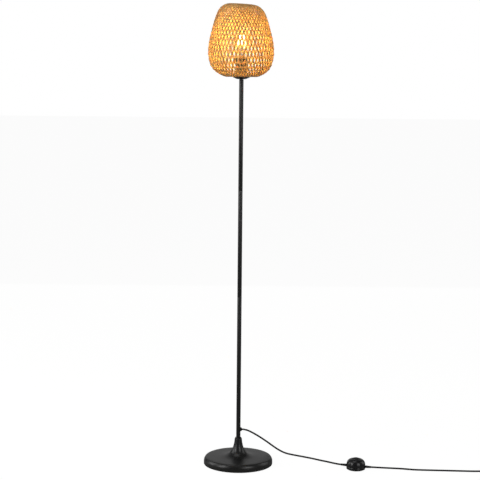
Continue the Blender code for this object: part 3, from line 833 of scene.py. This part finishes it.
def addBulb():
    setup = bulbSetup
    lift = setup["bottom"]
    start = math.radians(setup["domeStart"])
    steps = setup["domeSteps"]
    arc = [start + (math.pi / 2 - start) * step / steps for step in range(steps + 1)]
    radius = setup["radius"]
    dome = [(radius * math.cos(angle), setup["centre"] + radius * math.sin(angle)) for angle in arc]
    outside = smoothLine([*setup["neck"], *dome[1:-1]], 2)
    outside = np.array([*outside, (0.0, dome[-1][1])])
    inside = offsetLine(outside, setup["wall"])
    inside[-1][0] = 0.0
    outline = [tuple(p) for p in [*inside[::-1], *outside]]
    globe = spunShape(outline, 64, lift)
    addPiece("bulbGlobe", closeShape("bulbGlobe", globe, 60), "clear_glass", "bulb", ["bulb_globe"])
    cap = spunShape(setup["cap"], 64, lift)
    addPiece("bulbCap", closeShape("bulbCap", cap), "brass", "bulb", ["bulb_cap"])
    stem = spunShape(setup["stem"], 32, lift)
    addPiece("bulbStem", closeShape("bulbStem", stem, 60), "clear_glass", "bulb", ["bulb_stem"])
    shape = bmesh.new()
    for index in range(setup["filaments"]):
        rod = addRod(shape, setup["filamentRadius"], setup["filamentLength"], 10)
        turnShape(shape, math.radians(setup["filamentLean"]), "Y", rod)
        moveShape(shape, setup["filamentOut"], 0, lift + setup["filamentHeight"], rod)
        turnShape(shape, fullTurn * index / setup["filaments"], "Z", rod)
    addPiece("bulbFilaments", closeShape("bulbFilaments", shape), "lit_filament", "bulb")


addHead()
addBulb()
print("head built")

# Foot switch
switchSetup = {
    "place": (408.0, -57.2),
    "turn": -16.4,
    "dome": [(32.5, 11.6), (32.55, 14), (32.4, 17.5), (31.7, 22.8), (30, 27.3), (27.6, 30.9), (24.6, 33.5),
             (21, 35.4), (17.6, 36.5), (16, 36.9), (15.5, 36.7), (15.3, 36)],
    "wall": 2.0,
    "innerEdge": (30.5, 11.6),
    "tray": [(0, 1.7), (31, 1.7), (32.1, 2.2), (32.5, 3.2), (32.5, 10.9), (32.2, 11.2), (30.3, 11.2),
             (30.3, 4.2), (0, 4.2)],
    "button": [(0, 27), (3, 26.9), (6, 26.5), (8.6, 25.9), (11, 24.9), (12.8, 23.6), (14, 21.9), (14.6, 20),
               (14.7, 18), (14.7, 12.4), (13, 12.4), (13, 19.5), (3, 22), (3, 1.6), (0, 1.6)],
    "buttonBottom": 14.1,
    "pad": [(21, 0), (28.5, 0), (28.5, 1.4), (21, 1.4)],
    "padRound": 0.35,
    "leadHole": 3.5,
    "leadHeight": 11.5,
    "screwHole": 3.4,
    "screwPlace": 21,
}


def placeAtSwitch(shape):
    turnShape(shape, math.radians(switchSetup["turn"]), "Z")
    moveShape(shape, *switchSetup["place"], 0)
    return shape


def cutLeadHoles(piece):
    drill = bmesh.new()
    addRod(drill, switchSetup["leadHole"], 100, 32)
    turnShape(drill, math.pi / 2, "Y")
    moveShape(drill, 0, 0, switchSetup["leadHeight"])
    cutPiece(piece, placeAtSwitch(drill))


def addSwitch():
    setup = switchSetup
    dome = np.array(setup["dome"], float)
    inside = offsetLine(dome, setup["wall"])[::-1]
    inside[-1] = setup["innerEdge"]
    shape = placeAtSwitch(spunShape([tuple(p) for p in [*dome, *inside]], 112))
    cover = addPiece("switchCover", closeShape("switchCover", shape, 50), "black_plastic",
                     replaced=["switch_cover"])
    cutLeadHoles(cover)
    shape = placeAtSwitch(spunShape(setup["tray"], 112))
    lower = addPiece("switchTray", closeShape("switchTray", shape, 50), "black_plastic",
                     replaced=["switch_base"])
    cutLeadHoles(lower)
    for side in (-1, 1):
        drill = bmesh.new()
        addRod(drill, setup["screwHole"], 6, 24)
        moveShape(drill, 0, setup["screwPlace"] * side, 0)
        cutPiece(lower, placeAtSwitch(drill))
    shape = placeAtSwitch(spunShape(setup["button"], 80, setup["buttonBottom"]))
    button = addPiece("switchButton", closeShape("switchButton", shape, 50), "black_plastic", "switch_button",
                      ["switch_button"])
    pad = placeAtSwitch(spunShape(setup["pad"], 96, 0, setup["padRound"]))
    footPad = addPiece("switchPad", closeShape("switchPad", pad), "black_rubber", replaced=["switch_pad"])
    return [cover, lower, button, footPad]


springSetup = {
    "radius": 5.6,
    "wire": 0.5,
    "bottom": 19.7,
    "top": 34.4,
    "turns": 4,
    "stepsPerTurn": 20,
    "held": 19.0,
    "pressed": 0.78,
}


def addButtonSpring():
    # Wound by turning a small circle round the axis while it rises
    setup = springSetup
    shape = bmesh.new()
    wire = bmesh.ops.create_circle(shape, segments=8, radius=setup["wire"] * mm, cap_ends=True)["verts"]
    turnShape(shape, math.pi / 2, "X", wire)
    moveShape(shape, setup["radius"], 0, setup["bottom"], wire)
    steps = setup["turns"] * setup["stepsPerTurn"]
    rise = (setup["top"] - setup["bottom"]) / steps
    bmesh.ops.spin(shape, geom=shape.faces[:], cent=(0, 0, 0), axis=(0, 0, 1), dvec=(0, 0, rise * mm),
                   angle=fullTurn * setup["turns"], steps=steps)
    bmesh.ops.recalc_face_normals(shape, faces=shape.faces)
    x, y = switchSetup["place"]
    moveShape(shape, x, y, 0)
    spring = addPiece("buttonSpring", closeShape("buttonSpring", shape, 60), "zinc_steel",
                      replaced=["switch_spring"])
    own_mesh(spring)
    return spring


sleeveSetup = {
    "length": 20,
    "step": 0.5,
    "radius": 4.7,
    "taper": 1.2,
    "ribsFrom": 4,
    "ribsTo": 18,
    "pitch": 3.0,
    "slot": 0.9,
    "slotDepth": 0.35,
}


def addSleeve(name, node, route):
    # A ribbed strain relief that tapers along the lead; the slots between its ribs let it bend
    setup = sleeveSetup
    line = smoothLine(route, 12)
    along = np.concatenate([[0], np.cumsum(np.linalg.norm(np.diff(line, axis=0), axis=1))])
    spots = []
    radii = []
    for distance in np.arange(0, setup["length"] + 0.01, setup["step"]):
        spots.append([np.interp(distance, along, line[:, axis]) for axis in range(3)])
        inRibs = setup["ribsFrom"] < distance < setup["ribsTo"]
        slot = setup["slotDepth"] if inRibs and distance % setup["pitch"] < setup["slot"] else 0.0
        radii.append(setup["radius"] - setup["taper"] * distance / setup["length"] - slot)
    return addTube(name, spots, "black_rubber", [node], 1.0, 5, radii)


switchPieces = [*addSwitch(), addButtonSpring()]
sleeveIn = addSleeve("switchSleeveIn", "switch_sleeve_in", leadSetup["toSwitch"][::-1])
sleeveOut = addSleeve("switchSleeveOut", "switch_sleeve_out", leadSetup["toCoil"])
print("foot switch built")

# Plug and tie
plugSetup = {
    "tip": (945.0, 4.5, 7.2),
    "outline": [(3.6, 0), (4.2, 12), (5.5, 24), (9, 29.5), (17.6, 38), (17.6, 52), (14, 60)],
    "halfDepth": 6.8,
    "thin": (0.55, 0.45, 38),  # depth share at the lead, what it gains, and over what length
    "edgeRound": 1.5,
    "pinPlace": 9.5,
    "pin": [(0, 60.0), (2, 60.0), (2, 77.2), (1.85, 78.2), (1.4, 78.9), (0, 79.3)],
    "sheath": [(2.02, 60.2), (2.25, 60.2), (2.25, 70), (2.02, 70)],
}


def layPin(outline, side):
    x, y, z = plugSetup["tip"]
    shape = spunShape(outline, 24)
    turnShape(shape, -math.pi / 2, "X")
    moveShape(shape, x + plugSetup["pinPlace"] * side, y, z)
    return shape


def addPlug():
    # A flat two-pin plug: half its outline is mirrored, extruded and rounded
    shape = bmesh.new()
    half = plugSetup["outline"]
    depth = plugSetup["halfDepth"]
    ring = [shape.verts.new((a * mm, b * mm, -depth * mm)) for a, b in half]
    ring += [shape.verts.new((-a * mm, b * mm, -depth * mm)) for a, b in reversed(half)]
    face = shape.faces.new(ring)
    raised = bmesh.ops.extrude_face_region(shape, geom=[face])["geom"]
    moveShape(shape, 0, 0, 2 * depth, [part for part in raised if isinstance(part, bmesh.types.BMVert)])
    bmesh.ops.recalc_face_normals(shape, faces=shape.faces)
    share, gain, length = plugSetup["thin"]
    for vert in shape.verts:
        vert.co.z *= min(1.0, share + gain * vert.co.y / (length * mm))
    bevelEdges(shape, shape.edges[:], plugSetup["edgeRound"], 3)
    moveShape(shape, *plugSetup["tip"])
    body = addPiece("plugBody", closeShape("plugBody", shape, 30), "black_plastic", replaced=["plug_body"])
    pieces = [body]
    for side, name in ((-1, "Left"), (1, "Right")):
        pin = layPin(plugSetup["pin"], side)
        pieces.append(addPiece("plugPin" + name, closeShape("plugPin" + name, pin), "plated_pin",
                               replaced=["plug_pin_" + name.lower()]))
        sheath = layPin(plugSetup["sheath"], side)
        pieces.append(addPiece("pinSheath" + name, closeShape("pinSheath" + name, sheath), "black_plastic"))
    return pieces


tieSetup = {"size": (19.6, 5.0, 13.8), "fromCentre": 33.0, "height": 7.2, "round": 4, "thickness": 0.5}


def addTie():
    # A strap round the coil's bundle
    shape = bmesh.new()
    strap = bmesh.ops.create_cube(shape, size=mm)["verts"]
    bmesh.ops.scale(shape, vec=tieSetup["size"], verts=strap)
    lengthwise = [edge for edge in shape.edges if abs(edge.verts[0].co.y - edge.verts[1].co.y) > 1e-6]
    bevelEdges(shape, lengthwise, tieSetup["round"], 6)
    ends = [face for face in shape.faces if abs(face.normal.y) > 0.9]
    bmesh.ops.delete(shape, geom=ends, context="FACES_ONLY")
    x, y = coilSetup["centre"]
    moveShape(shape, x - tieSetup["fromCentre"], y, tieSetup["height"])
    piece = addPiece("cordTie", closeShape("cordTie", shape, 60), "black_rubber", replaced=["cord_tie"])
    thicken(piece, tieSetup["thickness"], 1.0)
    return piece


plugPieces = addPlug()
tie = addTie()
print("plug and tie built")

# Light and floor
lightSetup = {
    "bulbHeight": 1.466, "bulbRadius": 0.0285, "bulbPower": 1.95, "bulbColour": "#ffe08e",
    "roomLight": 0.08,
    "panels": {
        "left": {"place": (-3.1, -2.0, 1.9), "aim": (0, 0, 0.8), "size": (1.1, 2.4), "power": 56.0},
        "right": {"place": (2.2, -3.2, 1.9), "aim": (0, 0, 0.8), "size": (1.1, 2.4), "power": 44.0},
        "farLeft": {"place": (-3.4, 0.7, 1.6), "aim": (0, 0, 1.2), "size": (1.4, 2.6), "power": 34.0},
        "farRight": {"place": (3.4, 0.7, 1.6), "aim": (0, 0, 1.4), "size": (1.4, 2.6), "power": 20.0},
        "back": {"place": (0, 3.8, 1.4), "aim": (0, 0, 0.9), "size": (5.0, 3.0), "power": 18.0},
        "top": {"place": (-0.6, -0.2, 3.6), "aim": (0, 0, 0.6), "size": (2.0, 2.0), "power": 20.0},
    },
}


def buildLight():
    scene = bpy.context.scene
    scene.view_settings.view_transform = "Standard"
    world = bpy.data.worlds.new("studio")
    scene.world = world
    world.use_nodes = True
    tree = world.node_tree
    room = tree.nodes["Background"]
    room.inputs["Color"].default_value = (1, 1, 1, 1)
    room.inputs["Strength"].default_value = lightSetup["roomLight"]
    backdrop = addNode(tree, "ShaderNodeBackground", values={"Color": (1, 1, 1, 1), "Strength": 1.0})
    path = addNode(tree, "ShaderNodeLightPath")
    mix = addNode(tree, "ShaderNodeMixShader", links={"Fac": path.outputs["Is Camera Ray"]})
    tree.links.new(room.outputs["Background"], mix.inputs[1])
    tree.links.new(backdrop.outputs["Background"], mix.inputs[2])
    tree.links.new(mix.outputs["Shader"], tree.nodes["World Output"].inputs["Surface"])
    bulb = bpy.data.lights.new("bulbLight", "POINT")
    bulb.energy = lightSetup["bulbPower"]
    bulb.color = linearColour(lightSetup["bulbColour"])[:3]
    bulb.shadow_soft_size = lightSetup["bulbRadius"]
    bulb.use_soft_falloff = False
    lamp = bpy.data.objects.new("bulbLight", bulb)
    lamp.location = (0, 0, lightSetup["bulbHeight"])
    lamp.visible_camera = False
    lamp.visible_transmission = False
    lamp.visible_glossy = False
    scene.collection.objects.link(lamp)
    for name, setup in lightSetup["panels"].items():
        data = bpy.data.lights.new(name + "Panel", "AREA")
        data.shape = "RECTANGLE"
        data.size, data.size_y = setup["size"]
        data.energy = setup["power"]
        light = bpy.data.objects.new(name + "Panel", data)
        light.location = setup["place"]
        aim = Vector(setup["aim"]) - Vector(setup["place"])
        light.rotation_euler = aim.to_track_quat("-Z", "Y").to_euler()
        light.visible_camera = False
        scene.collection.objects.link(light)


floorSetup = {"size": 40.0, "drop": 0.2, "colour": "#a3a3a1", "roughness": 0.9, "glow": 1.2, "glowShare": 0.8}


def buildFloor():
    shape = bmesh.new()
    bmesh.ops.create_grid(shape, x_segments=4, y_segments=4, size=floorSetup["size"])
    mesh = closeShape("floor", shape)
    # Pale painted floor: bright to the camera like a lit studio sweep, with soft shadows left in it
    material, tree, shader, _ = startMaterial("palePaintedFloor")
    shader.inputs["Base Color"].default_value = linearColour(floorSetup["colour"])
    shader.inputs["Roughness"].default_value = floorSetup["roughness"]
    lit = addNode(tree, "ShaderNodeEmission", values={"Color": (1, 1, 1, 1), "Strength": floorSetup["glow"]})
    path = addNode(tree, "ShaderNodeLightPath")
    share = addNode(tree, "ShaderNodeMath", {"operation": "MULTIPLY"}, {1: floorSetup["glowShare"]},
                    {0: path.outputs["Is Camera Ray"]})
    mix = addNode(tree, "ShaderNodeMixShader", links={"Fac": share.outputs["Value"]})
    tree.links.new(shader.outputs["BSDF"], mix.inputs[1])
    tree.links.new(lit.outputs["Emission"], mix.inputs[2])
    tree.links.new(mix.outputs["Shader"], tree.nodes["Material Output"].inputs["Surface"])
    mesh.materials.append(material)
    floor = bpy.data.objects.new("floor", mesh)
    floor.location.z = -floorSetup["drop"] * mm
    bpy.context.scene.collection.objects.link(floor)


buildLight()
buildFloor()
